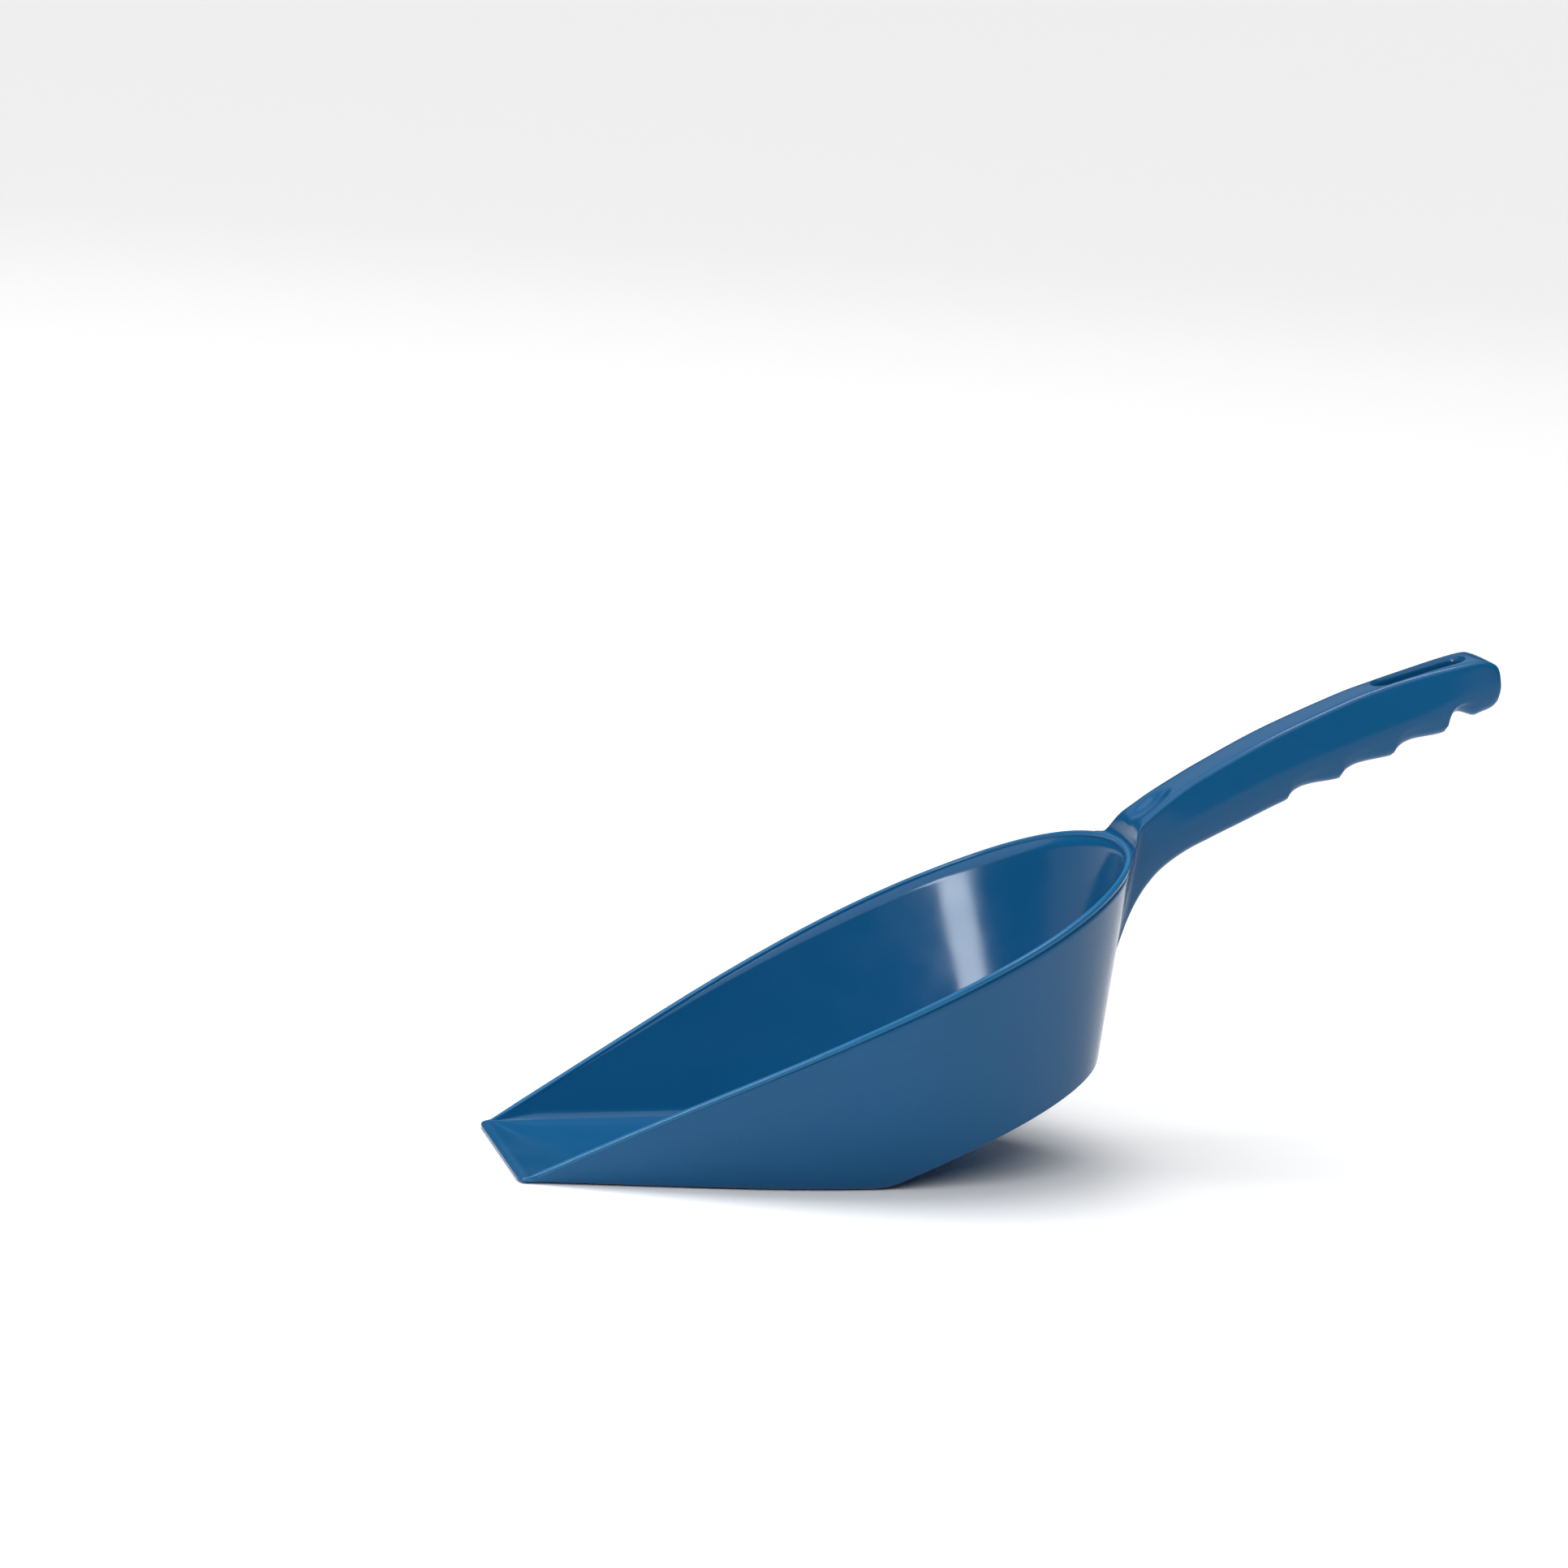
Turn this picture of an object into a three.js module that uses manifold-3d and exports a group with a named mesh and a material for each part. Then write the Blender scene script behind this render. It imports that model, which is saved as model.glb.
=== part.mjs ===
// A one-hand scoop for dry feed: a drafted bowl that is flat underneath from the lip to
// the middle, a sloping rear panel, a beaded rim that rises to the back, and an arched
// grip with four finger grooves and a hanging slot.
// Millimetres, +Z up. The lip points to -X, the grip to +X, and the flat base lies on Z = 0.
// The moulding is divided along its own creases into separate closed solids.

import * as THREE from 'three';
import { mergeVertices } from 'three/addons/utils/BufferGeometryUtils.js';
import Module from 'manifold-3d';

const wasm = await Module();
wasm.setup();

const radians = THREE.MathUtils.degToRad;

// Driving dimensions, counted along X from the lip.
const overallLength = 330;
const pieceGap = 0.3;

const wallThickness = 2.4;
const floorThickness = 2.8;
const lipThickness = 1.2;
const lipTaperLength = 7;
const lipCornerRadius = 3;

const lipHalfWidth = 32.5;
const sideFlare = Math.tan(radians(5.5));
const straightSideLength = 63;
const floorPlanLength = 199.8;
const sideFullness = 0.57;
const backFullness = 0.69;
const sideGrowthPerMm = 0.0085;
const backGrowthPerMm = 0.00022;

const rampStart = 121;
const rampAngle = radians(24.8);
const heelRadius = 13;
const rearWallStart = 150;

const rimBackX = 205;
const rimBackHeight = 109;
const rimCrown = 2.2;
const blockHeight = rimBackHeight + 20;
const beadHeight = 2.6;
const beadOverhang = 0.3;

const gripWidth = 20;
const topEdgeRadius = 4.5;
const underEdgeRadius = 7;
const stepX = 205.4;
const stepFootHeight = 110.4;
const firstGrooveX = 264;
const groovePitch = 18;
const grooveCount = 4;
const grooveRadius = 9;
const grooveDepth = 2.4;
const slotLength = 33;
const slotWidth = 9;
const slotCentreX = 305.4;
const slotCentreHeight = 159;
const slotTilt = radians(17);
const eyeStart = 281;
const eyeSeamHeight = 149;
const eyeSeamTilt = radians(23);

const neckHalfWidth = 9.5;
const neckFlareHalfWidth = 19;
const neckBottomHeight = 68;
const neckRootX = 203.4;
const neckFlareStartX = 197;
const neckFlareEndX = 212;

// Reaches used only to cut right through the moulding.
const wide = 200;
const insideBowlX = 185;
const behindNeckX = 225;
const blue = 0x1f5c94;

// Solids and geometry

function solidFrom(geometry) {
  const bare = geometry.clone();
  bare.deleteAttribute('normal');
  bare.deleteAttribute('uv');
  const merged = mergeVertices(bare, 1e-4);
  const vertProperties = Float32Array.from(merged.attributes.position.array);
  const triVerts = Uint32Array.from(merged.index.array);
  return new wasm.Manifold(new wasm.Mesh({ numProp: 3, vertProperties, triVerts }));
}

function geometryFrom(solid) {
  const mesh = solid.getMesh();
  const geometry = new THREE.BufferGeometry();
  geometry.setAttribute('position', new THREE.BufferAttribute(mesh.vertProperties, 3));
  geometry.setIndex(new THREE.BufferAttribute(mesh.triVerts, 1));
  geometry.computeVertexNormals();
  return geometry;
}

// A side-view outline, distance from the lip by height, made solid across the width.
function acrossSolid(shape, width = wide) {
  const geometry = new THREE.ExtrudeGeometry(shape, {
    depth: width,
    bevelEnabled: false,
    curveSegments: 10,
  });
  geometry.translate(0, 0, -width / 2);
  geometry.rotateX(Math.PI / 2);
  return solidFrom(geometry);
}

// A plan outline made solid upwards.
function uprightSolid(shape, height) {
  const geometry = new THREE.ExtrudeGeometry(shape, {
    depth: height,
    bevelEnabled: false,
    curveSegments: 12,
  });
  return solidFrom(geometry);
}

function boxSolid(low, high) {
  const size = new THREE.Vector3().subVectors(high, low);
  const geometry = new THREE.BoxGeometry(size.x, size.y, size.z);
  geometry.translate(low.x + size.x / 2, low.y + size.y / 2, low.z + size.z / 2);
  return solidFrom(geometry);
}

function boxFromX(lowX, highX) {
  return boxSolid(new THREE.Vector3(lowX, -wide, -wide), new THREE.Vector3(highX, wide, wide));
}

function sideBox(side) {
  const low = side > 0 ? 0 : -wide;
  return boxSolid(new THREE.Vector3(-wide, low, -wide), new THREE.Vector3(2 * wide, low + wide, wide));
}

// Bowl

// One side of the floor's outline: straight and flaring, then curving round to the middle
// of the back.
function sideOutline() {
  const shoulder = lipHalfWidth + straightSideLength * sideFlare;
  const curveLength = floorPlanLength - straightSideLength;
  const start = new THREE.Vector2(straightSideLength, shoulder);
  const reach = sideFullness * curveLength;
  const path = new THREE.CurvePath();
  path.add(new THREE.LineCurve(new THREE.Vector2(0, lipHalfWidth), start));
  path.add(new THREE.CubicBezierCurve(
    start,
    new THREE.Vector2(start.x + reach, start.y + reach * sideFlare),
    new THREE.Vector2(floorPlanLength, backFullness * shoulder),
    new THREE.Vector2(floorPlanLength, 0),
  ));
  return path;
}

// The floor outline moved outwards by offset, both halves; the front may run on past the lip.
function floorOutline(offset, overrun) {
  const [straight, curved] = sideOutline().curves;
  const curveSteps = 22;
  const half = [new THREE.Vector2(-overrun, straight.getPoint(0).y + offset - overrun * sideFlare)];
  for (let i = 0; i < curveSteps; i += 1) {
    const point = curved.getPoint(i / curveSteps);
    const along = curved.getTangent(i / curveSteps);
    half.push(new THREE.Vector2(point.x - along.y * offset, point.y + along.x * offset));
  }
  const otherHalf = half.map((point) => new THREE.Vector2(point.x, -point.y)).reverse();
  const back = new THREE.Vector2(floorPlanLength + offset, 0);
  return [...half, back, ...otherHalf];
}

// The plain outline grows with height, so every wall leans outwards. The offset doesn't
// grow, which keeps a wall equally thick all the way up.
function draftedBlock(offset, overrun = 0) {
  const plain = floorOutline(0, overrun);
  const moved = floorOutline(offset, overrun);
  const geometry = new THREE.ExtrudeGeometry(new THREE.Shape(moved), {
    depth: blockHeight,
    steps: 4,
    bevelEnabled: false,
  });
  const position = geometry.attributes.position;
  const corner = new THREE.Vector2();
  for (let i = 0; i < position.count; i += 1) {
    corner.fromBufferAttribute(position, i);
    const height = position.getZ(i);
    const from = plain[moved.findIndex((point) => point.distanceTo(corner) < 1e-3)];
    position.setX(i, corner.x + from.x * backGrowthPerMm * height);
    position.setY(i, corner.y + from.y * sideGrowthPerMm * height);
  }
  return solidFrom(geometry);
}

// Height of the rim at a distance from the lip: nearly straight, with a slight crown.
function rimHeight(x) {
  const part = x / rimBackX;
  return rimBackHeight * part + 4 * rimCrown * part * (1 - part);
}

// Everything below a line that runs drop under the rim.
function underRim(drop) {
  const frontX = -10;
  const backX = rimBackX + 25;
  const steps = 20;
  const shape = new THREE.Shape();
  shape.moveTo(frontX, -wide);
  shape.lineTo(backX, -wide);
  for (let i = steps; i >= 0; i -= 1) {
    const x = frontX + (backX - frontX) * (i / steps);
    shape.lineTo(x, rimHeight(x) - drop);
  }
  return acrossSolid(shape);
}

// Centre of the heel's arc, which touches both the ramp and the back of the bowl.
function heelCentre() {
  const lean = Math.atan(backGrowthPerMm * floorPlanLength);
  const climb = Math.tan(rampAngle);
  const rise = Math.tan(lean);
  const fixed = floorPlanLength - heelRadius / Math.cos(lean)
    + rise * (heelRadius / Math.cos(rampAngle) - rampStart * climb);
  const x = fixed / (1 - rise * climb);
  const z = climb * (x - rampStart) + heelRadius / Math.cos(rampAngle);
  return { x, z, lean };
}

// Everything above the underside once it is raised by rise. The underside is flat, climbs
// at the ramp and turns up round the heel.
function aboveUnderside(rise) {
  const heel = heelCentre();
  const shape = new THREE.Shape();
  shape.moveTo(-10, rise);
  shape.lineTo(rampStart - rise * Math.tan(rampAngle / 2), rise);
  shape.absarc(heel.x, heel.z, heelRadius - rise, rampAngle - Math.PI / 2, -heel.lean, false);
  shape.lineTo(wide + 50, heel.z);
  shape.lineTo(wide + 50, wide);
  shape.lineTo(-10, wide);
  return acrossSolid(shape);
}

function basePanel() {
  const end = rampStart - pieceGap;
  const shape = new THREE.Shape([
    new THREE.Vector2(0, 0),
    new THREE.Vector2(end, 0),
    new THREE.Vector2(end, floorThickness),
    new THREE.Vector2(lipTaperLength, floorThickness),
    new THREE.Vector2(0, lipThickness),
  ]);
  const corners = new THREE.Shape();
  const inset = lipHalfWidth - lipCornerRadius;
  corners.absarc(lipCornerRadius, inset, lipCornerRadius, Math.PI, Math.PI / 2, true);
  corners.lineTo(wide, inset + lipCornerRadius + wide * sideFlare);
  corners.lineTo(wide, -inset - lipCornerRadius - wide * sideFlare);
  corners.absarc(lipCornerRadius, -inset, lipCornerRadius, -Math.PI / 2, -Math.PI, true);
  return draftedBlock(0).intersect(acrossSolid(shape)).intersect(uprightSolid(corners, floorThickness));
}

function rampPanel() {
  const band = aboveUnderside(0).subtract(aboveUnderside(floorThickness));
  return draftedBlock(0).intersect(band).intersect(boxFromX(rampStart, 2 * wide));
}

function bowlWalls() {
  const shell = draftedBlock(0).subtract(draftedBlock(-wallThickness, 10));
  return shell
    .intersect(aboveUnderside(floorThickness + pieceGap))
    .intersect(underRim(beadHeight + pieceGap));
}

function rimBead() {
  const ring = draftedBlock(beadOverhang).subtract(draftedBlock(-wallThickness - beadOverhang, 10));
  return ring
    .intersect(underRim(0))
    .subtract(underRim(beadHeight))
    .intersect(aboveUnderside(floorThickness + pieceGap));
}

// Grip and neck

// The arched top and the underside of the grip in side view, from the neck to the end.
const gripTop = [
  [207.5, 117.4], [214.4, 123.7], [230, 134.7], [250, 146.7], [275, 159.3], [300, 168.8], [320.4, 175],
];
const gripUnder = [[215.8, 99.6], [232, 111], [256, 123.4], [282, 135.8], [304, 146], [324, 156.6]];
const endFaceTop = [327.6, 172.4];
const endFaceFoot = [329.9, 162.2];

// The underside is nearly straight where the fingers lie.
const [fingersFrom, fingersTo] = [gripUnder[2], gripUnder[4]];
const underSlope = Math.atan2(fingersTo[1] - fingersFrom[1], fingersTo[0] - fingersFrom[0]);

function underHeight(x) {
  return fingersFrom[1] + (x - fingersFrom[0]) * Math.tan(underSlope);
}

function flatPoints(list) {
  return list.map(([x, z]) => new THREE.Vector2(x, z));
}

// The grip from the side: a blunt front at the step behind the rim, an arched top, a
// nearly square end, and an underside that follows the arch.
function gripShape() {
  const shape = new THREE.Shape();
  shape.moveTo(stepX, stepFootHeight);
  shape.quadraticCurveTo(stepX, stepFootHeight + 4.6, ...gripTop[0]);
  shape.splineThru(flatPoints(gripTop.slice(1)));
  shape.quadraticCurveTo(endFaceTop[0] - 2, gripTop[6][1] + 0.2, ...endFaceTop);
  shape.lineTo(...endFaceFoot);
  shape.quadraticCurveTo(endFaceFoot[0] - 0.2, endFaceFoot[1] - 3, ...gripUnder[5]);
  shape.splineThru(flatPoints(gripUnder.slice(0, -1).reverse()));
  return shape;
}

// A bar that follows one face of the grip, with that face's two long edges rounded.
// Its section is drawn with the followed face at zero and the material towards depth.
function edgedBar(list, depth, edgeRadius) {
  const first = list[0];
  const last = list[list.length - 1];
  const before = [2 * first[0] - list[1][0], 2 * first[1] - list[1][1]];
  const beyond = [last[0] + 25, last[1] + 7];
  const points = [before, ...list, beyond].map(([x, z]) => new THREE.Vector3(x, 0, z));
  const half = gripWidth / 2;
  const inner = half - edgeRadius;
  const turn = Math.sign(depth) * edgeRadius;
  const section = new THREE.Shape();
  section.moveTo(-inner, 0);
  section.lineTo(inner, 0);
  section.quadraticCurveTo(half, 0, half, turn);
  section.lineTo(half, depth);
  section.lineTo(-half, depth);
  section.lineTo(-half, turn);
  section.quadraticCurveTo(-half, 0, -inner, 0);
  const geometry = new THREE.ExtrudeGeometry(section, {
    steps: 26,
    curveSegments: 5,
    extrudePath: new THREE.CatmullRomCurve3(points),
  });
  return solidFrom(geometry);
}

function fingerGroove(index) {
  const x = firstGrooveX + index * groovePitch;
  const geometry = new THREE.CylinderGeometry(grooveRadius, grooveRadius, 2 * gripWidth, 40);
  const reach = grooveRadius - grooveDepth;
  geometry.translate(x + reach * Math.sin(underSlope), 0, underHeight(x) - reach * Math.cos(underSlope));
  return solidFrom(geometry);
}

function hangingSlot() {
  const straight = (slotLength - slotWidth) / 2;
  const shape = new THREE.Shape();
  shape.absarc(straight, 0, slotWidth / 2, -Math.PI / 2, Math.PI / 2, false);
  shape.absarc(-straight, 0, slotWidth / 2, Math.PI / 2, 3 * Math.PI / 2, false);
  const geometry = new THREE.ExtrudeGeometry(shape, { depth: 3 * gripWidth, bevelEnabled: false });
  geometry.translate(0, 0, -1.5 * gripWidth);
  geometry.rotateY(-slotTilt);
  geometry.translate(slotCentreX, 0, slotCentreHeight);
  return solidFrom(geometry);
}

function wholeGrip() {
  let grip = acrossSolid(gripShape(), gripWidth)
    .intersect(edgedBar(gripTop, 45, topEdgeRadius))
    .intersect(edgedBar(gripUnder, -45, underEdgeRadius));
  for (let index = 0; index < grooveCount; index += 1) {
    grip = grip.subtract(fingerGroove(index));
  }
  return grip.subtract(hangingSlot());
}

// A half space beyond a plane that crosses the grip square to its length.
function beyondGrip(x) {
  const geometry = new THREE.BoxGeometry(wide, wide, 2 * wide);
  geometry.translate(wide / 2, 0, 0);
  geometry.rotateY(-eyeSeamTilt);
  geometry.translate(x, 0, eyeSeamHeight);
  return solidFrom(geometry);
}

function gripBar() {
  return wholeGrip().subtract(beyondGrip(eyeStart));
}

function hangingEye() {
  return wholeGrip().intersect(beyondGrip(eyeStart + pieceGap));
}

// The neck under the front of the grip, spreading onto the back of the bowl.
function neckGusset() {
  const side = new THREE.Shape();
  side.moveTo(insideBowlX, neckBottomHeight);
  side.lineTo(neckRootX, neckBottomHeight);
  side.bezierCurveTo(neckRootX + 1.6, 83, neckRootX + 4, 91, gripUnder[0][0] - 0.4, gripUnder[0][1] - 0.2);
  side.lineTo(stepX - 0.2, stepFootHeight - 0.4);
  side.lineTo(insideBowlX, stepFootHeight - 11);
  const plan = new THREE.Shape();
  plan.moveTo(insideBowlX, -neckFlareHalfWidth);
  plan.lineTo(neckFlareStartX, -neckFlareHalfWidth);
  plan.quadraticCurveTo(neckFlareStartX + 5, -neckHalfWidth, neckFlareEndX, -neckHalfWidth);
  plan.lineTo(behindNeckX, -neckHalfWidth);
  plan.lineTo(behindNeckX, neckHalfWidth);
  plan.lineTo(neckFlareEndX, neckHalfWidth);
  plan.quadraticCurveTo(neckFlareStartX + 5, neckHalfWidth, neckFlareStartX, neckFlareHalfWidth);
  plan.lineTo(insideBowlX, neckFlareHalfWidth);
  const beadRoom = draftedBlock(beadOverhang + pieceGap).subtract(underRim(beadHeight + pieceGap));
  return acrossSolid(side)
    .intersect(uprightSolid(plan, wide))
    .subtract(draftedBlock(pieceGap))
    .subtract(beadRoom)
    .subtract(acrossSolid(gripShape(), gripWidth).translate([pieceGap, 0, pieceGap]));
}

// Assembly

const subParts = {
  base_panel: () => basePanel(),
  ramp_panel: () => rampPanel(),
  left_wall: () => bowlWalls().intersect(sideBox(-1)).subtract(boxFromX(rearWallStart, 2 * wide)),
  right_wall: () => bowlWalls().intersect(sideBox(1)).subtract(boxFromX(rearWallStart, 2 * wide)),
  back_wall: () => bowlWalls().intersect(boxFromX(rearWallStart + pieceGap, 2 * wide)),
  rim_left: () => rimBead().intersect(sideBox(-1)).subtract(boxFromX(rearWallStart, 2 * wide)),
  rim_right: () => rimBead().intersect(sideBox(1)).subtract(boxFromX(rearWallStart, 2 * wide)),
  rim_back: () => rimBead().intersect(boxFromX(rearWallStart + pieceGap, 2 * wide)),
  neck_gusset: () => neckGusset(),
  grip_bar: () => gripBar(),
  hanging_eye: () => hangingEye(),
};

const scoop = new THREE.Group();
for (const [name, make] of Object.entries(subParts)) {
  const material = new THREE.MeshStandardMaterial({ color: blue, roughness: 0.3, metalness: 0 });
  const mesh = new THREE.Mesh(geometryFrom(make()), material);
  mesh.name = name;
  scoop.add(mesh);
}
scoop.position.x = -overallLength / 2;

export default scoop;
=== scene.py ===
import math

import bmesh
import bpy
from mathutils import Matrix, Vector


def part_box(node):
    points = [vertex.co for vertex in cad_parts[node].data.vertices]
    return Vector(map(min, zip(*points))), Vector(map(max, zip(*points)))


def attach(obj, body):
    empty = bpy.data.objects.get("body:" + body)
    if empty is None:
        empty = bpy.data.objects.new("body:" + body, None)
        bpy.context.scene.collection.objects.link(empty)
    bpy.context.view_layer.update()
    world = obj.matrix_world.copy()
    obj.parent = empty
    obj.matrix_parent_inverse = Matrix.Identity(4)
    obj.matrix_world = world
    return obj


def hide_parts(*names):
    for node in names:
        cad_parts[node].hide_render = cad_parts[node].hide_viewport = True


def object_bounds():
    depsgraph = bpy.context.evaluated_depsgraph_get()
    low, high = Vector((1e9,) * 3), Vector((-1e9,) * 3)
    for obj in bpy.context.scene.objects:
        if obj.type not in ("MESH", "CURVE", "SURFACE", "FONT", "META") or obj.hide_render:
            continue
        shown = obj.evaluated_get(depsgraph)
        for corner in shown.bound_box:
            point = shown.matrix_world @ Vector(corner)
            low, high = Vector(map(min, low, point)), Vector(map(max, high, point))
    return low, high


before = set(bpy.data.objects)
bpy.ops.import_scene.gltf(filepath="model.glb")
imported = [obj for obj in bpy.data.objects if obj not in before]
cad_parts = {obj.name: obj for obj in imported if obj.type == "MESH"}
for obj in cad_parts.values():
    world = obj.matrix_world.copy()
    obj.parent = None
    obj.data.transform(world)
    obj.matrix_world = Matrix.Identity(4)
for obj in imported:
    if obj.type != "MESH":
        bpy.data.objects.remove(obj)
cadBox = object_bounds()
print("frame loaded")

# Shapes are drawn in millimetres: x counted from the lip, y across, z up from the table.
mm = 0.001
lipX = cadBox[0].x
tableZ = cadBox[0].z


def placed(x, y, z):
    return Vector((lipX + x * mm, y * mm, tableZ + z * mm))


def fromLip(worldX):
    return (worldX - lipX) / mm


def ease(value, low, high):
    part = min(1.0, max(0.0, (value - low) / (high - low)))
    return part * part * (3 - 2 * part)


def meshPiece(name, verts, faces, mergeGap=0.004):
    # welds points closer than mergeGap millimetres and turns every face outwards
    bm = bmesh.new()
    made = [bm.verts.new(v) for v in verts]
    for face in faces:
        corners = []
        for i in face:
            if made[i] not in corners:
                corners.append(made[i])
        if len(corners) > 2:
            bm.faces.new(corners)
    bmesh.ops.remove_doubles(bm, verts=bm.verts, dist=mergeGap * mm)
    bmesh.ops.dissolve_degenerate(bm, edges=bm.edges, dist=mergeGap * mm * 0.5)
    bmesh.ops.recalc_face_normals(bm, faces=bm.faces)
    if bm.calc_volume(signed=True) < 0:
        bmesh.ops.reverse_faces(bm, faces=bm.faces)
    for face in bm.faces:
        face.smooth = True
    mesh = bpy.data.meshes.new(name)
    bm.to_mesh(mesh)
    bm.free()
    piece = bpy.data.objects.new(name, mesh)
    bpy.context.scene.collection.objects.link(piece)
    return piece


def loopFaces(rows, columns, closed):
    # quads between rows of points; closed joins each row's last point to its first
    faces = []
    span = columns if closed else columns - 1
    for i in range(rows - 1):
        for j in range(span):
            k = (j + 1) % columns
            faces.append((i * columns + j, (i + 1) * columns + j, (i + 1) * columns + k, i * columns + k))
    return faces


# The bowl is one shell, thinned at the lip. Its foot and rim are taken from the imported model.
rampFoot = fromLip(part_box("ramp_panel")[0].x)
rimBack = fromLip(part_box("rim_back")[1].x) - 0.1
rimTop = (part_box("rim_back")[1].z - tableZ) / mm

bowl = {
    "wall": 1.8,
    "floor": 1.8,
    "lipEdge": 1.3,         # thickness at the very lip
    "lipChamfer": 3.4,      # how far back the lip is thinned
    "lipCorner": 3.2,
    "wallStart": 5.0,       # where the side walls have their full thickness
    "lipHalfWidth": 32.5,
    "sideFlare": 5.5,       # degrees
    "straightLength": 63.0,
    "planLength": 199.0,
    "sideFullness": 0.57,
    "backFullness": 0.69,
    "sideGrowth": 0.0085,   # how much wider per millimetre of height
    "backGrowth": 0.00022,
    "rampAngle": 24.8,
    "rampBlend": 4.0,
    "heelRadius": 13.0,
    "insideFillet": 4.5,    # smaller towards the lip, where the walls are low
    "outsideFillet": 1.8,
    "fanX": 146.0,          # the sections turn about this point at the back
    "rimCrown": 2.2,
    "rimLift": 1.3,         # the rim turns up a little where it meets the neck
    "rimLiftFrom": 0.75,    # as a share of the rim's length
    "pastHeelSlope": 12.0,  # less steep than the wall, so that the two still meet
}
# the thin bead along the rim
bead = {
    "height": 1.9,
    "overhang": 0.12,       # how far it stands proud of the wall on each side
    "round": 0.8,
    "footRound": 0.2,
    "start": 1.0,
    "fullFrom": 14.0,       # it narrows from here to the lip
    "lipNarrowing": 0.9,
}

rampSlope = math.tan(math.radians(bowl["rampAngle"]))


def outlineRing(height, inset, corner):
    # one half of the bowl's plan at a height, as points from the lip round to the back
    flare = math.tan(math.radians(bowl["sideFlare"]))
    half, straight, length = bowl["lipHalfWidth"], bowl["straightLength"], bowl["planLength"]
    points = []
    if corner:
        radius = bowl["lipCorner"]
        for i in range(10):
            turn = math.pi / 2 * i / 10
            points.append(Vector((radius * (1 - math.cos(turn)), half - radius + radius * math.sin(turn))))
    else:
        points.append(Vector((-2.0, half - 2.0 * flare)))
    shoulder = half + straight * flare
    for x in (5, 12, 24, 36, 48, 58):
        points.append(Vector((x, half + x * flare)))
    reach = bowl["sideFullness"] * (length - straight)
    curve = (Vector((straight, shoulder)), Vector((straight + reach, shoulder + reach * flare)),
             Vector((length, bowl["backFullness"] * shoulder)), Vector((length, 0)))
    steps = 90
    for i in range(steps + 1):
        t = i / steps
        points.append(curve[0] * (1 - t) ** 3 + curve[1] * 3 * t * (1 - t) ** 2
                      + curve[2] * 3 * t * t * (1 - t) + curve[3] * t ** 3)
    grown = [Vector((p.x * (1 + bowl["backGrowth"] * height), p.y * (1 + bowl["sideGrowth"] * height)))
             for p in points]
    ring = []
    for i, p in enumerate(grown):
        before = grown[max(0, i - 1)]
        after = grown[i + 1] if i + 1 < len(grown) else Vector((p.x, -grown[i - 1].y))
        along = (after - before).normalized()
        ring.append(p + Vector((along.y, -along.x)) * inset)
    ring.append(Vector((ring[-1].x, -ring[-2].y)))
    return ring


ringStore = {}


def reachAt(section, height, inset, corner):
    # distance from a section's start to the wall at a height
    key = (round(height, 3), inset, corner)
    if key not in ringStore:
        ringStore[key] = outlineRing(height, inset, corner)
    startX, direction = section
    across = Vector((-direction.y, direction.x))
    start = Vector((startX, 0))
    ring = ringStore[key]
    last = (ring[0] - start).dot(across)
    for i in range(1, len(ring)):
        here = (ring[i] - start).dot(across)
        if last * here <= 0 and last != here:
            share = last / (last - here)
            point = ring[i - 1].lerp(ring[i], share)
            along = (point - start).dot(direction)
            if along > 0:
                return along
        last = here
    return (ring[0] - start).dot(direction)


def heelArc(rise):
    lean = math.atan(bowl["backGrowth"] * bowl["planLength"])
    radius, angle = bowl["heelRadius"], math.radians(bowl["rampAngle"])
    back = math.tan(lean)
    fixed = (bowl["planLength"] - radius / math.cos(lean)
             + back * (radius / math.cos(angle) - rampFoot * rampSlope))
    x = fixed / (1 - back * rampSlope)
    z = rampSlope * (x - rampFoot) + radius / math.cos(angle)
    return x, z, radius - rise, lean


heelStore = {}


def underHeight(x, rise):
    # the flat base, the ramp and the heel, seen from the side and raised by rise
    if rise not in heelStore:
        heelStore[rise] = heelArc(rise)
    heelX, heelZ, radius, lean = heelStore[rise]
    angle = math.radians(bowl["rampAngle"])
    foot = rampFoot - rise * math.tan(angle / 2)
    blend = bowl["rampBlend"]
    if x < foot - blend:
        return rise
    if x < foot + blend:
        return rise + rampSlope * (x - foot + blend) ** 2 / (4 * blend)
    if x < heelX + radius * math.sin(angle):
        return rise + rampSlope * (x - foot)
    endX = heelX + radius * math.cos(lean)
    if x < endX:
        return heelZ - math.sqrt(max(0.0, radius ** 2 - (x - heelX) ** 2))
    return heelZ - radius * math.sin(lean) + (x - endX) * bowl["pastHeelSlope"]


def rimHeight(x):
    part = x / rimBack
    crown = 4 * bowl["rimCrown"] * part * (1 - part)
    return rimTop * part + crown + bowl["rimLift"] * ease(part, bowl["rimLiftFrom"], 1.0)


def lipFade(x):
    return ease(x, bowl["lipEdge"] / 2, bowl["lipChamfer"])


def floorHeight(x, inside):
    edge = bowl["lipEdge"] / 2
    curl = edge - math.sqrt(max(0.0, edge ** 2 - max(0.0, edge - x) ** 2))
    if not inside:
        return underHeight(x, 0.0) + curl
    thin = (bowl["floor"] - bowl["lipEdge"]) * (1 - lipFade(x))
    return underHeight(x, bowl["floor"]) - thin - curl


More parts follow.
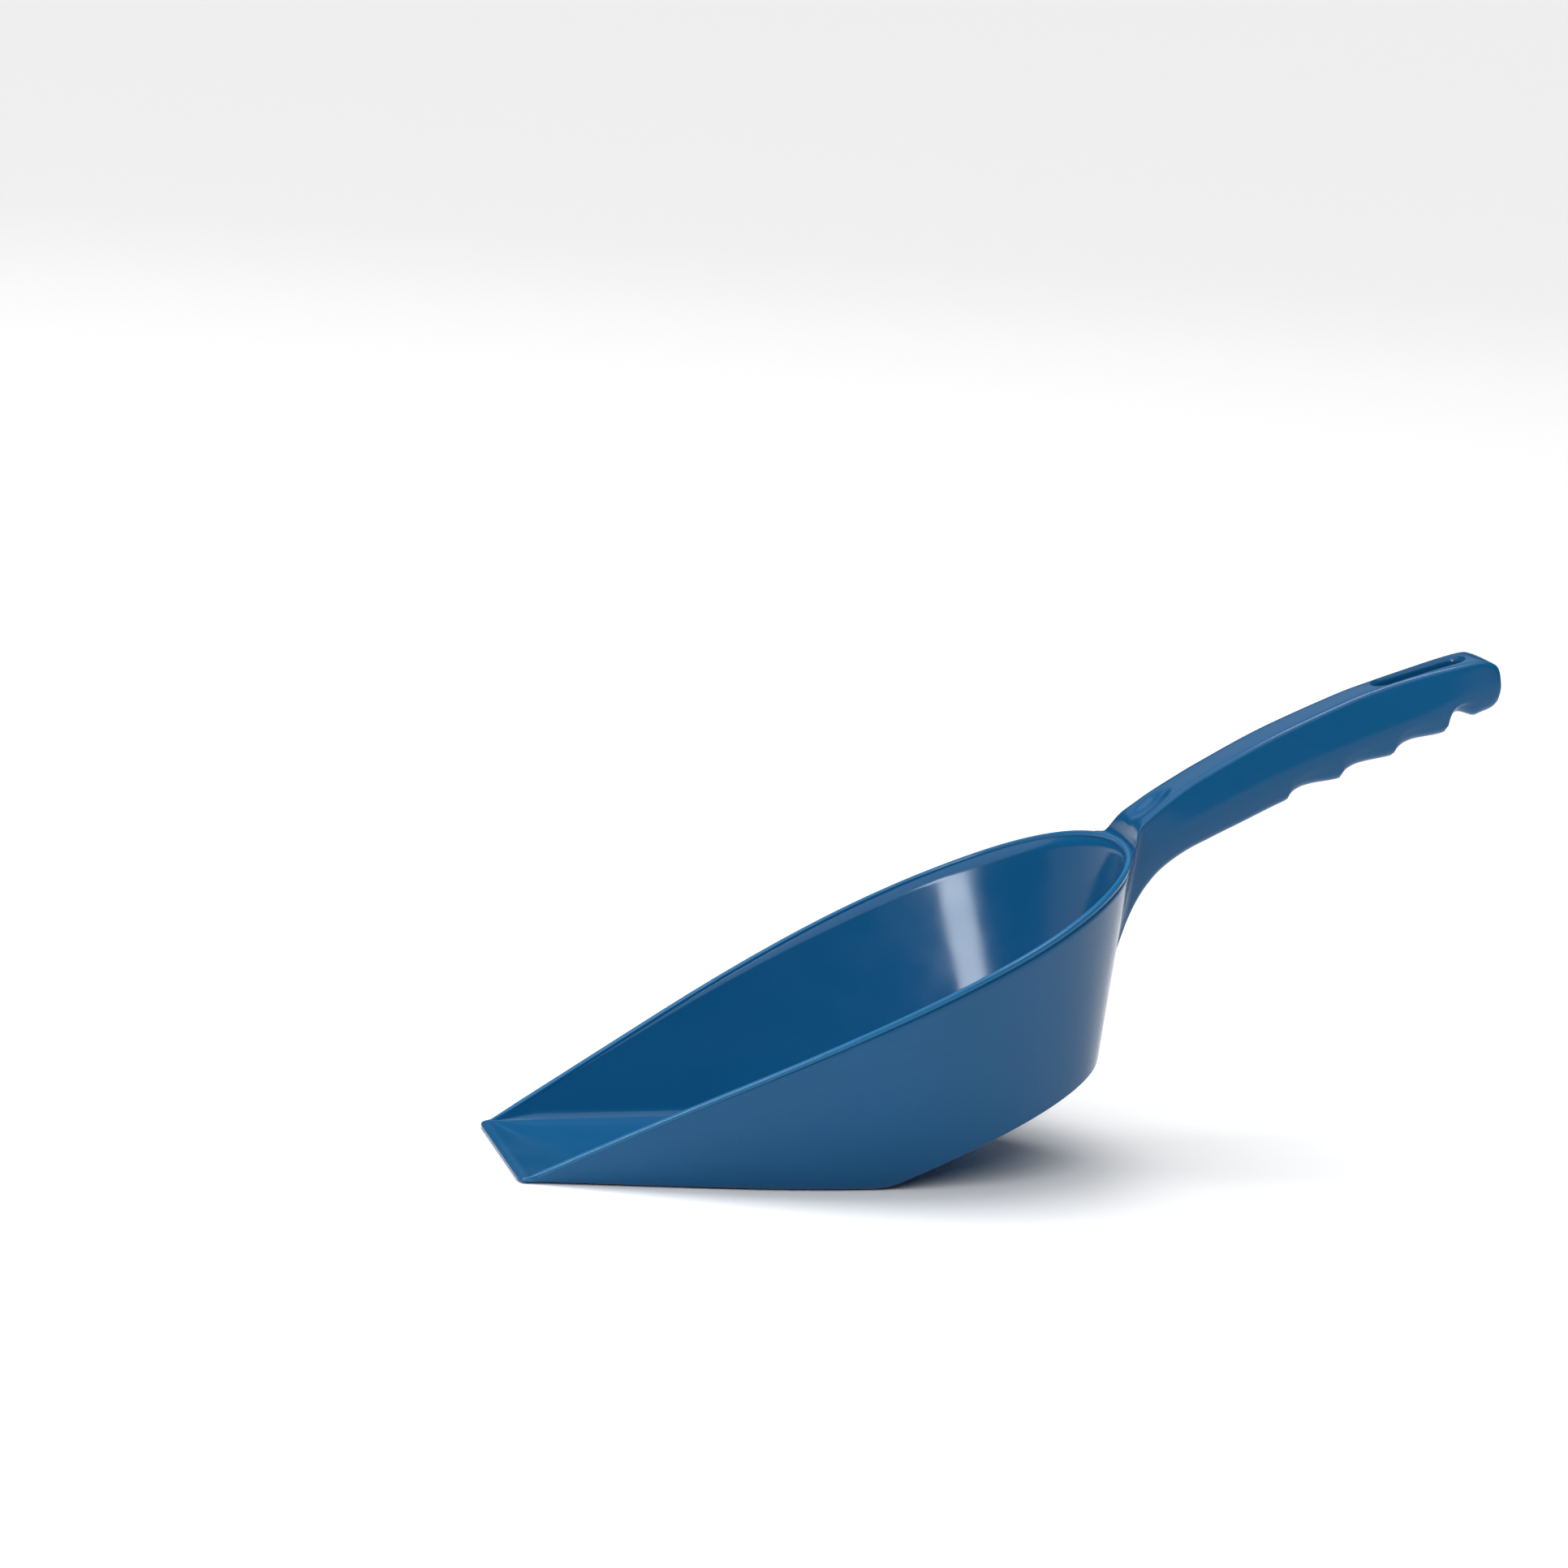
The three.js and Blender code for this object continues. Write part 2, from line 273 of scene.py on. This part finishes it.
def sectionProfile(section, inside, counts=(26, 8, 16)):
    # points from the middle of the floor, through the fillet, up to the top of the wall
    startX, direction = section

    def wallPoint(z):
        reach = reachAt(section, z, 0.0, True)
        if inside:
            # the wall starts from nothing at the lip
            share = ease(startX, 0.0, bowl["wallStart"])
            reach += (reachAt(section, z, bowl["wall"], False) - reach) * share
        return Vector((reach, z))

    def floorPoint(r):
        return Vector((r, floorHeight(startX + r * direction.x, inside)))

    low, high = 0.0, 70.0
    for _ in range(34):
        z = (low + high) / 2
        if z < floorPoint(wallPoint(z).x).y:
            low = z
        else:
            high = z
    corner = wallPoint(high)
    top = corner.y
    for _ in range(6):
        x = startX + wallPoint(top).x * direction.x
        slab = floorHeight(min(x, 20.0), True)
        top = max(rimHeight(x) - bead["height"] * 0.6, corner.y + 0.01, slab + 0.02)
    floorWay = (corner - floorPoint(corner.x - 0.5)).normalized()
    wallWay = (wallPoint(corner.y + 0.5) - corner).normalized()
    turn = math.acos(max(-1.0, min(1.0, floorWay.dot(wallWay))))
    radius = bowl["insideFillet"] if inside else bowl["outsideFillet"]
    cut = min(radius * math.tan(turn / 2), 0.4 * (top - corner.y), 0.45 * corner.x)
    begin = floorPoint(corner.x - cut * floorWay.x)
    end = wallPoint(corner.y + cut * wallWay.y)
    beginWay = (floorPoint(begin.x + 0.05) - floorPoint(begin.x - 0.05)).normalized()
    endWay = (wallPoint(end.y + 0.05) - wallPoint(end.y - 0.05)).normalized()
    handle = 4 / 3 * math.tan(turn / 4) * cut / max(math.tan(turn / 2), 1e-6) if turn > 1e-4 else cut / 3
    points = []
    onFloor, onFillet, onWall = counts
    for i in range(onFloor):
        share = 1 - (1 - i / onFloor) ** 2
        points.append(floorPoint(begin.x * share))
    for i in range(onFillet):
        t = i / onFillet
        points.append(begin * (1 - t) ** 3 + (begin + beginWay * handle) * 3 * t * (1 - t) ** 2
                      + (end - endWay * handle) * 3 * t * t * (1 - t) + end * t ** 3)
    for i in range(onWall + 1):
        points.append(wallPoint(end.y + (top - end.y) * i / onWall))
    return points


def bowlSections():
    lipSteps = [bowl["lipEdge"] / 2 * (1 - math.cos(math.pi / 2 * i / 5)) for i in range(6)]
    # close together at the lip and at the crease, wider apart between them
    stations = lipSteps + [1.1, 1.6, 2.2, 2.8, 3.5, 4.5, 6, 8, 10.5, 14]
    stations += [19, 25, 33, 42, 52, 63, 74, 85, 96, 106]
    stations += [rampFoot - 9, rampFoot - 7] + [rampFoot - 5.5 + i for i in range(11)]
    stations += [rampFoot + 8, rampFoot + 12, rampFoot + 17]
    sections = [(x, Vector((0, 1))) for x in stations if x < bowl["fanX"] - 2]
    fan = 44
    for i in range(fan + 1):
        turn = math.pi / 2 * i / fan
        sections.append((bowl["fanX"], Vector((math.sin(turn), math.cos(turn)))))
    return sections


sections = bowlSections()


def sectionPlace(section, point, side):
    startX, direction = section
    return placed(startX + direction.x * point.x, side * direction.y * point.x, point.y)


def makeBowl():
    profiles = [(sectionProfile(s, False), sectionProfile(s, True)) for s in sections]
    columns = len(profiles[0][0]) * 2
    verts, faces = [], []
    for side in (-1, 1):
        first = len(verts)
        for section, (outer, inner) in zip(sections, profiles):
            verts += [sectionPlace(section, p, side) for p in outer]
            verts += [sectionPlace(section, p, side) for p in reversed(inner)]
        faces += [tuple(first + i for i in face) for face in loopFaces(len(sections), columns, False)]
    return meshPiece("bowlShell", verts, faces), profiles


bowlShell, bowlProfiles = makeBowl()
print("bowl shell made")


def rimPath():
    # middle of the wall's top edge, one side then the other
    half = []
    for section, (outer, inner) in zip(sections, bowlProfiles):
        startX, direction = section
        if startX < bead["start"]:
            continue
        middle = (outer[-1].x + inner[-1].x) / 2
        half.append(Vector((startX + direction.x * middle, direction.y * middle)))
    return [Vector((p.x, -p.y)) for p in half] + [p for p in reversed(half[:-1])]


def makeRimBead():
    path = rimPath()
    verts = []
    ringCount = 0
    for i, p in enumerate(path):
        before, after = path[max(0, i - 1)], path[min(len(path) - 1, i + 1)]
        along = (after - before).normalized()
        outward = Vector((along.y, -along.x))
        top = max(rimHeight(p.x), floorHeight(min(p.x, 20), True) + 0.12)
        bottom = max(top - bead["height"], 0.3)
        depth = top - bottom
        # the bead grows out of the lip's corner
        narrowing = bead["lipNarrowing"] * (1 - ease(p.x, bead["start"], bead["fullFrom"]))
        width = bowl["wall"] + 2 * bead["overhang"] - narrowing
        radius = min(bead["round"], depth * 0.45, width * 0.45)
        ring = []
        for cx, cz, start in ((width / 2 - radius, top - radius, 0), (radius - width / 2, top - radius, 1)):
            for k in range(6):
                turn = math.pi / 2 * (start + k / 5)
                ring.append((cx + radius * math.cos(turn), cz + radius * math.sin(turn)))
        small = bead["footRound"]
        for cx, start in ((small - width / 2, 2), (width / 2 - small, 3)):
            for k in range(3):
                turn = math.pi / 2 * (start + k / 2)
                ring.append((cx + small * math.cos(turn), bottom + small + small * math.sin(turn)))
        ringCount = len(ring)
        for offset, z in ring:
            verts.append(placed(p.x + outward.x * offset, p.y + outward.y * offset, z))
    faces = loopFaces(len(path), ringCount, True)
    faces.append(tuple(range(ringCount)))
    faces.append(tuple((len(path) - 1) * ringCount + k for k in range(ringCount)))
    return meshPiece("rimBead", verts, faces)


rimBead = makeRimBead()
print("rim bead made")


# The neck and the grip are one bar from the back wall to the hanging end.
# Each row is a slice: top x and z, bottom x and z, then half widths at the top, the middle
# and the bottom, the middle's depth as a share, and how far it follows the wall's curve.
neckSlices = [
    (202.7, 107.9, 200.2, 53, 21.0, 13.0, 2.0, 0.50, 1.0),
    (203.6, 108.3, 201.6, 57, 19.2, 12.2, 3.0, 0.50, 1.0),
    (204.2, 108.7, 202.6, 65, 17.4, 11.4, 4.5, 0.50, 1.0),
    (204.6, 109.3, 203.7, 72, 16.2, 10.8, 5.5, 0.50, 1.0),
    (204.9, 110.4, 204.6, 76, 15.3, 10.4, 6.0, 0.50, 0.95),
    (205.1, 111.8, 205.5, 79.5, 14.3, 10.2, 6.2, 0.50, 0.9),
    (205.3, 113.3, 206.5, 83, 13.2, 10.1, 6.4, 0.50, 0.8),
    (205.7, 115.1, 208.6, 88.6, 12.1, 10.1, 6.6, 0.51, 0.6),
    (206.8, 117.2, 211.6, 94.4, 11.0, 10.1, 6.8, 0.54, 0.35),
    (209.6, 120.0, 216.4, 100.6, 10.1, 10.0, 6.8, 0.57, 0.1),
    (214.4, 124.2, 224.0, 106.7, 9.1, 9.9, 6.8, 0.60, 0.0),
    (222.0, 129.9, 233.2, 111.9, 7.8, 9.8, 6.8, 0.62, 0.0),
    (230.0, 135.1, 241.7, 116.4, 7.6, 9.8, 6.8, 0.63, 0.0),
    (250.0, 146.9, 260.2, 126.1, 7.4, 9.8, 6.8, 0.63, 0.0),
    (275.0, 159.3, 282.2, 135.7, 6.7, 9.8, 6.8, 0.62, 0.0),
    (288.0, 164.7, 292.8, 140.8, 6.3, 9.8, 6.8, 0.62, 0.0),
    (300.0, 169.0, 304.7, 146.1, 6.8, 9.8, 6.8, 0.63, 0.0),
    (312.0, 172.8, 314.7, 151.3, 8.3, 9.9, 6.8, 0.63, 0.0),
    (320.0, 174.95, 321.0, 155.3, 9.0, 9.9, 6.8, 0.62, 0.0),
    (323.6, 174.8, 324.4, 157.0, 9.2, 9.9, 6.8, 0.60, 0.0),
    (326.6, 173.8, 327.4, 158.4, 9.0, 9.8, 6.8, 0.57, 0.0),
    (327.9, 172.6, 329.2, 159.9, 8.6, 9.5, 6.4, 0.54, 0.0),
    (328.5, 171.0, 329.8, 161.4, 8.0, 9.0, 6.0, 0.50, 0.0),
]
grip = {
    "topEdge": 1.6,
    "sideEdge": 3.5,
    "underEdge": 4.5,
    "crown": 0.2,
    "keel": 0.8,            # how far the middle of the underside hangs below its edges
    "dipX": 211.5,
    "dipLength": 8.0,
    "dipHalfWidth": 6.4,
    "dipDepth": 1.9,
    "firstGroove": 258.2,
    "groovePitch": 18.0,
    "grooveDepths": (2.3, 2.5, 2.7, 5.0),
    "grooveSkew": 0.6,      # below one puts the deepest place nearer the bowl
    "grooveFlank": 1.3,     # above one softens a groove's ends
    "lastGrooveShortening": 1.8,
    "slotCentre": 305.4,
    "slotHeight": 159.0,
    "slotLength": 32.4,
    "slotWidth": 9.0,
    "slotTilt": 17.0,
    "slotRound": 0.45,
    "slotLean": 3.3,        # how far the slot leans towards the bowl by the time it meets the top
}


def sliceAt(place):
    # a slice between the listed ones, on a smooth curve through them
    last = len(neckSlices) - 1
    i = min(last - 1, int(place))
    t = place - i
    rows = [neckSlices[max(0, min(last, i + k))] for k in (-1, 0, 1, 2)]
    made = []
    for a, b, c, d in zip(*rows):
        tangentB, tangentC = (c - a) / 2, (d - b) / 2
        made.append((2 * t ** 3 - 3 * t ** 2 + 1) * b + (t ** 3 - 2 * t ** 2 + t) * tangentB
                    + (3 * t ** 2 - 2 * t ** 3) * c + (t ** 3 - t ** 2) * tangentC)
    return made


def roundedHalf(corners, radii, arcSteps=7):
    # half of a slice: from the top middle, over rounded corners, to the bottom middle
    points = [corners[0]]
    for i in range(1, len(corners) - 1):
        here = corners[i]
        toBefore = (corners[i - 1] - here)
        toAfter = (corners[i + 1] - here)
        cut = min(radii[i - 1], toBefore.length * 0.48, toAfter.length * 0.48)
        begin = here + toBefore.normalized() * cut
        end = here + toAfter.normalized() * cut
        previous = points[-1]
        for k in range(1, 5):
            points.append(previous.lerp(begin, k / 5))
        for k in range(arcSteps + 1):
            t = k / arcSteps
            points.append(begin * (1 - t) ** 2 + here * 2 * t * (1 - t) + end * t * t)
    previous = points[-1]
    for k in range(1, 6):
        points.append(previous.lerp(corners[-1], k / 5))
    return points


def grooveDepth(x):
    for i, depth in enumerate(grip["grooveDepths"]):
        share = (x - grip["firstGroove"] - i * grip["groovePitch"]) / grip["groovePitch"]
        if i == len(grip["grooveDepths"]) - 1:
            share *= grip["lastGrooveShortening"]
        if 0 < share < 1:
            return depth * math.sin(math.pi * share ** grip["grooveSkew"]) ** grip["grooveFlank"]
    return 0.0


def wallBack(y, z):
    # how far the back wall has curved forwards at a distance y from the middle
    ring = outlineRing(round(z / 4) * 4, 0.0, True)
    for a, b in zip(reversed(ring[:-1]), reversed(ring[:-2])):
        if a.y <= y <= b.y:
            share = (y - a.y) / max(b.y - a.y, 1e-6)
            return max(p.x for p in ring) - (a.x + (b.x - a.x) * share)
    return 0.0


def makeGripBody():
    places = []
    for i in range(len(neckSlices) - 1):
        length = math.dist(neckSlices[i][2:4], neckSlices[i + 1][2:4])
        count = max(4, int(length / 0.9))
        places += [i + k / count for k in range(count)]
    places.append(len(neckSlices) - 1)
    verts = []
    columns = 0
    # the first few loops close the root with a face that lies inside the wall
    closing = [(0, share / 4) for share in range(4)]
    for place, squeeze in closing + [(place, 1.0) for place in places]:
        topX, topZ, lowX, lowZ, wTop, wMid, wLow, midShare, follow = sliceAt(place)
        top, low = Vector((topX, topZ)), Vector((lowX, lowZ))
        depth = (low - top).length
        down = (low - top).normalized()
        endShare = ease(place, len(neckSlices) - 4.5, len(neckSlices) - 1)
        topRound = grip["topEdge"] * (1 + 0.4 * endShare)
        corners = [Vector((0, 0)), Vector((wTop, 0)), Vector((wMid, midShare * depth)),
                   Vector((wLow, depth)), Vector((0, depth + grip["keel"]))]
        half = roundedHalf(corners, (topRound, grip["sideEdge"], grip["underEdge"]))
        ring = []
        for p in half:
            y, d = p.x, p.y
            share = d / depth
            d += grip["crown"] * (y / wTop) ** 2 * (1 - ease(share, 0, 0.25))
            spot = top + down * d
            d -= grooveDepth(spot.x) * ease(share, 0.55, 0.97)
            dip = math.hypot((spot.x - grip["dipX"]) / grip["dipLength"], y / grip["dipHalfWidth"])
            if dip < 1:
                d += grip["dipDepth"] * (1 - dip * dip) ** 2 * (1 - ease(share, 0, 0.3))
            spot = top + down * d
            x = spot.x - max(0.0, follow) * wallBack(y * squeeze, spot.y)
            z = spot.y
            if place < 4:
                z = min(z, rimHeight(x) - 0.5 + 0.35 * place)
            ring.append((x, y * squeeze, z))
        full = ring + [(x, -y, z) for x, y, z in reversed(ring[1:-1])]
        columns = len(full)
        verts += [placed(*p) for p in full]
    rows = len(verts) // columns
    faces = loopFaces(rows, columns, True)
    faces.append(tuple((rows - 1) * columns + k for k in range(columns)))
    return meshPiece("gripAndNeck", verts, faces)


def topSurface(x):
    # height of the grip's top line above a place along it
    rows = [(s[0], s[1]) for s in neckSlices[10:20]]
    for (x0, z0), (x1, z1) in zip(rows, rows[1:]):
        if x0 <= x <= x1:
            return z0 + (z1 - z0) * (x - x0) / (x1 - x0)
    return rows[-1][1]


def makeSlotCutter():
    # a long round-ended plug that flares where it meets the top of the grip
    tilt = math.radians(grip["slotTilt"])
    axis = Vector((-math.sin(tilt), 0, math.cos(tilt)))
    along = Vector((math.cos(tilt), 0, math.sin(tilt)))
    straight = (grip["slotLength"] - grip["slotWidth"]) / 2
    radius = grip["slotWidth"] / 2
    centre = Vector((grip["slotCentre"], 0, grip["slotHeight"]))
    rim = []
    for end in (1, -1):
        for k in range(17):
            turn = math.pi * (k / 16 - 0.5)
            rim.append((end * straight, Vector((end * math.cos(turn), end * math.sin(turn)))))
    # height above the grip's top, and how much wider the slot is there
    flare = [(-40.0, 0.0), (-1.6, 0.0), (-0.9, 0.02), (-0.6, 0.1),
             (-0.3, 0.27), (0.0, 0.56), (0.6, 1.4), (6.0, 9.0)]
    verts = []
    for rise, spread in flare:
        for mid, normal in rim:
            reach = radius + spread * grip["slotRound"]
            foot = centre + along * (mid + normal.x * reach) + Vector((0, normal.y * reach, 0))
            edge = centre + along * (mid + normal.x * radius)
            surface = topSurface(edge.x - grip["slotLean"])
            height = (surface - grip["slotHeight"] - (edge.z - centre.z)) * math.cos(tilt)
            spot = foot + axis * (height + rise)
            verts.append(placed(*spot))
    columns = len(rim)
    faces = loopFaces(len(flare), columns, True)
    faces.append(tuple(range(columns)))
    faces.append(tuple((len(flare) - 1) * columns + k for k in range(columns)))
    return meshPiece("slotCutter", verts, faces)


def cutSlot(piece):
    cutter = makeSlotCutter()
    cut = piece.modifiers.new("slot", "BOOLEAN")
    cut.operation = "DIFFERENCE"
    cut.solver = "EXACT"
    cut.object = cutter
    graph = bpy.context.evaluated_depsgraph_get()
    mesh = bpy.data.meshes.new_from_object(piece.evaluated_get(graph))
    piece.modifiers.clear()
    piece.data = mesh
    mesh.name = piece.name
    bpy.data.objects.remove(cutter)
    for face in mesh.polygons:
        face.use_smooth = True
    mesh.set_sharp_from_angle(angle=math.radians(38))


gripAndNeck = makeGripBody()
cutSlot(gripAndNeck)
print("grip made")


finish = {
    "bowlBlue": (0.0055, 0.090, 0.224),
    # the rim bead's blue is lighter than the bowl's: a painted highlight for the bright line of light along
    # the rim's top
    "rimBlueWithPaintedHighlight": (0.009, 0.125, 0.29),
    "gripBlue": (0.0055, 0.085, 0.213),
    "roughness": 0.14,
    "gripRougher": 0.04,
    "specular": 0.24,
    "ior": 1.49,
    "mottleScale": 14,
    "mottleDepth": 0.06,
    "hazeScale": 60,
    "hazeBelow": 0.04,
    "hazeAbove": 0.06,
    "waveScale": 45,
    "waveStrength": 0.12,
    "waveHeight": 0.0006,   # metres
}


def plasticFinish(name, colour, roughness):
    mat = bpy.data.materials.new(name)
    mat.use_nodes = True
    nodes, links = mat.node_tree.nodes, mat.node_tree.links
    nodes.clear()
    output = nodes.new("ShaderNodeOutputMaterial")
    shader = nodes.new("ShaderNodeBsdfPrincipled")
    shader.inputs["IOR"].default_value = finish["ior"]
    shader.inputs["Specular IOR Level"].default_value = finish["specular"]
    links.new(shader.outputs["BSDF"], output.inputs["Surface"])
    coords = nodes.new("ShaderNodeTexCoord")

    mottle = nodes.new("ShaderNodeTexNoise")
    mottle.inputs["Scale"].default_value = finish["mottleScale"]
    mottle.inputs["Detail"].default_value = 3
    links.new(coords.outputs["Object"], mottle.inputs["Vector"])
    shade = nodes.new("ShaderNodeValToRGB")
    shade.color_ramp.elements[0].position = 0.3
    darker, lighter = 1 - finish["mottleDepth"], 1 + finish["mottleDepth"]
    shade.color_ramp.elements[0].color = tuple(c * darker for c in colour) + (1,)
    shade.color_ramp.elements[1].position = 0.7
    shade.color_ramp.elements[1].color = tuple(min(1, c * lighter) for c in colour) + (1,)
    links.new(mottle.outputs["Fac"], shade.inputs["Fac"])
    links.new(shade.outputs["Color"], shader.inputs["Base Color"])

    haze = nodes.new("ShaderNodeTexNoise")
    haze.inputs["Scale"].default_value = finish["hazeScale"]
    haze.inputs["Detail"].default_value = 5
    links.new(coords.outputs["Object"], haze.inputs["Vector"])
    hazeRange = nodes.new("ShaderNodeMapRange")
    hazeRange.inputs["From Min"].default_value = 0.3
    hazeRange.inputs["From Max"].default_value = 0.7
    hazeRange.inputs["To Min"].default_value = roughness - finish["hazeBelow"]
    hazeRange.inputs["To Max"].default_value = roughness + finish["hazeAbove"]
    links.new(haze.outputs["Fac"], hazeRange.inputs["Value"])
    links.new(hazeRange.outputs["Result"], shader.inputs["Roughness"])

    # a very slight waviness, as on any moulded wall
    wave = nodes.new("ShaderNodeTexNoise")
    wave.inputs["Scale"].default_value = finish["waveScale"]
    wave.inputs["Detail"].default_value = 1
    links.new(coords.outputs["Object"], wave.inputs["Vector"])
    bump = nodes.new("ShaderNodeBump")
    bump.inputs["Strength"].default_value = finish["waveStrength"]
    bump.inputs["Distance"].default_value = finish["waveHeight"]
    links.new(wave.outputs["Fac"], bump.inputs["Height"])
    links.new(bump.outputs["Normal"], shader.inputs["Normal"])
    return mat


bowlPlastic = plasticFinish("bowlPlastic", finish["bowlBlue"], finish["roughness"])
# the rim bead's material carries that painted highlight in its lighter blue
rimPlasticWithPaintedHighlight = plasticFinish("rimPlasticWithPaintedHighlight", finish["rimBlueWithPaintedHighlight"], finish["roughness"])
gripPlastic = plasticFinish("gripPlastic", finish["gripBlue"], finish["roughness"] + finish["gripRougher"])

for piece, mat, slotName, nodes in (
    (bowlShell, bowlPlastic, "bowl_plastic",
     ("base_panel", "ramp_panel", "left_wall", "right_wall", "back_wall")),
    (rimBead, rimPlasticWithPaintedHighlight, "rim_plastic", ("rim_left", "rim_right", "rim_back")),
    (gripAndNeck, gripPlastic, "grip_plastic", ("neck_gusset", "grip_bar", "hanging_eye")),
):
    piece.data.materials.clear()
    piece.data.materials.append(mat)
    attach(piece, "root")
    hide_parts(*nodes)
print("finishes set")


studio = {
    "floorColour": (0.96, 0.96, 0.96),
    "horizonLight": 0.22,
    "zenithLight": 1.3,
    "sunPower": 3.1,
    "sunSpread": 100,       # degrees
    "overheadPower": 8.0,
    "sunTurn": (14, -23),   # degrees
    "overheadPlace": (-0.1, 0.0, 1.5),
    "overheadSize": (0.7, 0.4),
    "windowPower": 11.4,
    "windowWay": (-0.575, -0.77, 0.285),
    "windowDistance": 1.3,
    "windowSize": (0.25, 0.62),
    "windowTurn": -8,       # degrees
    "windowColour": (0.86, 0.93, 1.0),
    "windowAim": (162, 48, 67),   # the place on the far wall that mirrors it, in millimetres
    "backPower": 5.5,
    "backPlace": (0.2, 2.2, 1.5),
    "backSize": (3.2, 1.2),
    "aim": (0.0, 0.0, 0.07),
    "floorHalf": 30,
    "floorGap": 0.0004,     # below the base, so that the two never touch
}


def makeFloor():
    mesh = bpy.data.meshes.new("studioFloor")
    half = studio["floorHalf"]
    corners = [(-half, -half, 0), (half, -half, 0), (half, half, 0), (-half, half, 0)]
    mesh.from_pydata(corners, [], [(0, 1, 2, 3)])
    floor = bpy.data.objects.new("studioFloor", mesh)
    floor.location.z = tableZ - studio["floorGap"]
    bpy.context.scene.collection.objects.link(floor)
    mat = bpy.data.materials.new("palePaper")
    mat.use_nodes = True
    shader = mat.node_tree.nodes["Principled BSDF"]
    shader.inputs["Base Color"].default_value = studio["floorColour"] + (1,)
    shader.inputs["Roughness"].default_value = 0.9
    shader.inputs["Specular IOR Level"].default_value = 0.1
    mesh.materials.append(mat)


def makeLight(name, place, target, size, power, colour=(1, 1, 1)):
    light = bpy.data.lights.new(name, "AREA")
    light.shape = "RECTANGLE"
    light.size, light.size_y = size
    light.energy = power
    light.color = colour
    lamp = bpy.data.objects.new(name, light)
    lamp.location = place
    lamp.rotation_euler = (Vector(target) - Vector(place)).to_track_quat("-Z", "Y").to_euler()
    bpy.context.scene.collection.objects.link(lamp)
    return lamp


def makeWorld():
    # dim round the horizon and bright overhead, like a room with a lit ceiling
    world = bpy.data.worlds.new("paleRoom")
    world.use_nodes = True
    nodes, links = world.node_tree.nodes, world.node_tree.links
    sky = nodes["Background"]
    coords = nodes.new("ShaderNodeTexCoord")
    split = nodes.new("ShaderNodeSeparateXYZ")
    height = nodes.new("ShaderNodeMapRange")
    height.inputs["From Min"].default_value = 0.15
    height.inputs["From Max"].default_value = 0.95
    height.inputs["To Min"].default_value = studio["horizonLight"]
    height.inputs["To Max"].default_value = studio["zenithLight"]
    links.new(coords.outputs["Generated"], split.inputs["Vector"])
    links.new(split.outputs["Z"], height.inputs["Value"])
    links.new(height.outputs["Result"], sky.inputs["Strength"])
    bpy.context.scene.world = world


def makeSun():
    light = bpy.data.lights.new("ceilingLight", "SUN")
    light.energy = studio["sunPower"]
    light.angle = math.radians(studio["sunSpread"])
    lamp = bpy.data.objects.new("ceilingLight", light)
    lamp.rotation_euler = [math.radians(turn) for turn in studio["sunTurn"]] + [0]
    bpy.context.scene.collection.objects.link(lamp)


makeFloor()
makeWorld()
makeSun()
# the window is only there for its reflection on the inside of the far wall
wallSpot = placed(*studio["windowAim"])
windowPlace = wallSpot + Vector(studio["windowWay"]).normalized() * studio["windowDistance"]
window = makeLight("windowLight", windowPlace, wallSpot, studio["windowSize"], studio["windowPower"],
                   studio["windowColour"])
window.rotation_euler.rotate_axis("Z", math.radians(studio["windowTurn"]))
window.visible_diffuse = False
makeLight("overheadLight", studio["overheadPlace"], studio["aim"], studio["overheadSize"],
          studio["overheadPower"])
makeLight("backdropLight", studio["backPlace"], studio["aim"], studio["backSize"], studio["backPower"])

view = {
    "azimuth": -15.57,
    "elevation": 11.57,
    "roll": 4.65,
    "lens": 110.5,
    "stand": (-325.0, -1474.9, 438.6),   # millimetres from the lip, as the shapes are
}


def makeCamera():
    data = bpy.data.cameras.new("studioCamera")
    data.sensor_width = 36
    data.lens = view["lens"]
    data.clip_start = 0.01
    camera = bpy.data.objects.new("studioCamera", data)
    turn, tip, roll = (math.radians(view[k]) for k in ("azimuth", "elevation", "roll"))
    back = Vector((math.sin(turn) * math.cos(tip), -math.cos(turn) * math.cos(tip), math.sin(tip)))
    right = Vector((math.cos(turn), math.sin(turn), 0))
    up = back.cross(right)
    rolledRight = right * math.cos(roll) + up * math.sin(roll)
    rolledUp = up * math.cos(roll) - right * math.sin(roll)
    pose = camera.matrix_world
    for i in range(3):
        pose[i][0], pose[i][1], pose[i][2] = rolledRight[i], rolledUp[i], back[i]
    pose.translation = placed(*view["stand"])
    camera.matrix_world = pose
    bpy.context.scene.collection.objects.link(camera)
    bpy.context.scene.camera = camera


makeCamera()
bpy.context.scene.view_settings.view_transform = "Standard"
print("studio ready")

bpy.context.view_layer.update()
